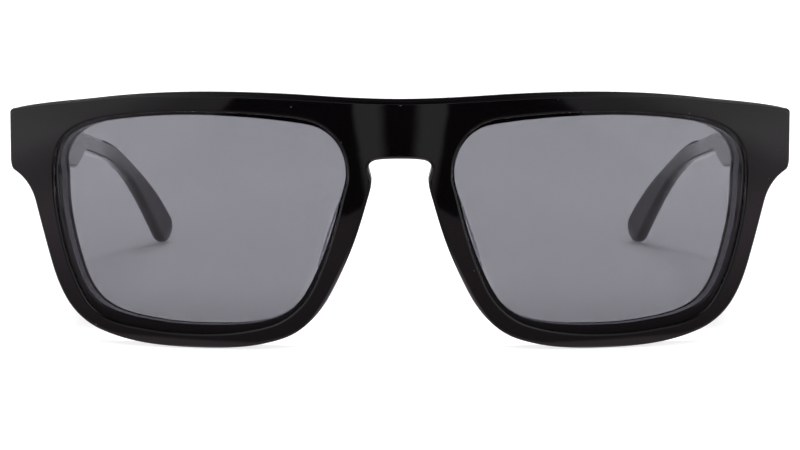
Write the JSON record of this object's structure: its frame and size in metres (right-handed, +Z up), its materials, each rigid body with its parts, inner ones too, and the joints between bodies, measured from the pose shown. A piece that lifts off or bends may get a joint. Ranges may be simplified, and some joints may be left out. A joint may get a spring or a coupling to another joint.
{
  "type": "clip-on eyeglasses",
  "caption": "Full-rim acetate eyeglasses with a keyhole bridge, folding drop temples and a magnetic sun clip that covers the whole front with dark lenses.",
  "frame": {"origin": "on the table, at the middle of the overall width and of the overall depth", "axes": "+X to the right hand of someone facing the front of the glasses, +Y backwards along the temples, +Z up from the table"},
  "size_m": [0.145, 0.148, 0.0474],
  "materials": {
    "acetate": "polished black acetate",
    "clear_lens": "clear, polished",
    "tinted_lens": "neutral grey tint, polished",
    "hinge_metal": "satin nickel silver",
    "screw_metal": "polished stainless",
    "core_metal": "rolled nickel silver",
    "magnet_plating": "nickel plated"
  },
  "bodies": {
    "eyeglass_front": {"optical_front": "acetate", "nose_pad_right": "acetate", "nose_pad_left": "acetate", "optical_lens_right": "clear_lens", "optical_lens_left": "clear_lens", "front_end_magnets": "magnet_plating", "front_bridge_magnets": "magnet_plating", "front_hinge_right": "hinge_metal", "front_hinge_left": "hinge_metal", "hinge_screw_right": "screw_metal", "hinge_screw_left": "screw_metal"},
    "right_temple": {"temple_right": "acetate", "temple_hinge_right": "hinge_metal", "core_wire_right": "core_metal"},
    "left_temple": {"temple_left": "acetate", "temple_hinge_left": "hinge_metal", "core_wire_left": "core_metal"},
    "sun_clip": {"clip_frame": "acetate", "clip_lens_right": "tinted_lens", "clip_lens_left": "tinted_lens", "clip_end_magnets": "magnet_plating", "clip_bridge_magnets": "magnet_plating"}
  },
  "joints": [
    {"name": "right_temple_fold", "type": "hinge", "parent": "eyeglass_front", "child": "right_temple", "pos_m": [0.06473, -0.05516, 0.0376], "axis": [0, 0, 1], "range_deg": [0, 84]},
    {"name": "left_temple_fold", "type": "hinge", "parent": "eyeglass_front", "child": "left_temple", "pos_m": [-0.06473, -0.05516, 0.0376], "axis": [0, 0, -1], "range_deg": [0, 74]},
    {"name": "clip_pull_off", "type": "slide", "parent": "eyeglass_front", "child": "sun_clip", "axis": [0, -1, 0], "range_m": [0, 0.03]}
  ]
}
